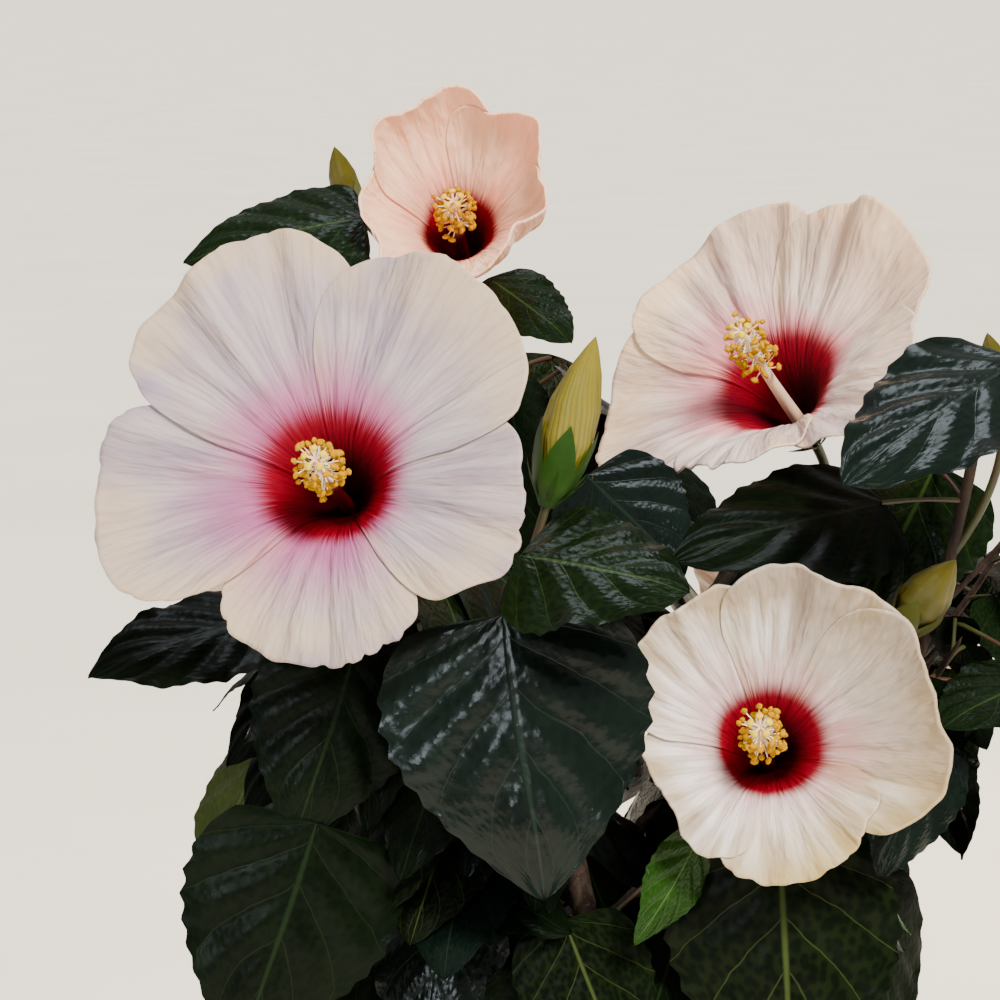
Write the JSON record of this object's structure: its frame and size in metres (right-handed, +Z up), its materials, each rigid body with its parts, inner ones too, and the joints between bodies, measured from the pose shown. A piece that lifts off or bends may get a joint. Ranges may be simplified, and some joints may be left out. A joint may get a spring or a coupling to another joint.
{
  "type": "potted hibiscus shrub",
  "caption": "Hibiscus shrub with dark glossy leaves, large pale blooms with deep red hearts, and buds, on a short forked trunk in a plain round clay pot",
  "frame": {"origin": "middle of the pot's flat underside", "axes": "+Z up; -Y is the side that the picture shows; +X is to its right"},
  "size_m": [0.3094, 0.3207, 0.512],
  "materials": {
    "terracotta": "matt fired clay",
    "soil": "moist and crumbly",
    "bark": "grey-brown, finely cracked",
    "leaves": "glossy dark green",
    "petals": "satin, pale with a red heart"
  },
  "bodies": {
    "root": {"pot": "terracotta", "soil": "soil", "trunk": "bark", "bough_left": "bark", "bough_centre": "bark", "bough_front_right": "bark", "bough_right": "bark", "bough_upper_right": "bark", "bough_top": "bark", "bough_back_left": "bark", "bough_back_right": "bark", "foliage_left": "leaves", "foliage_centre": "leaves", "foliage_front_right": "leaves", "foliage_right": "leaves", "foliage_upper_right": "leaves", "foliage_top": "leaves", "foliage_back_left": "leaves", "foliage_back_right": "leaves", "foliage_low_left": "leaves", "foliage_low_front": "leaves", "foliage_low_right": "leaves", "foliage_low_back": "leaves", "bloom_left": "petals", "bloom_front_right": "petals", "bloom_upper_right": "petals", "bloom_top": "petals", "bloom_back_left": "petals", "bloom_back_right": "petals"}
  },
  "joints": []
}
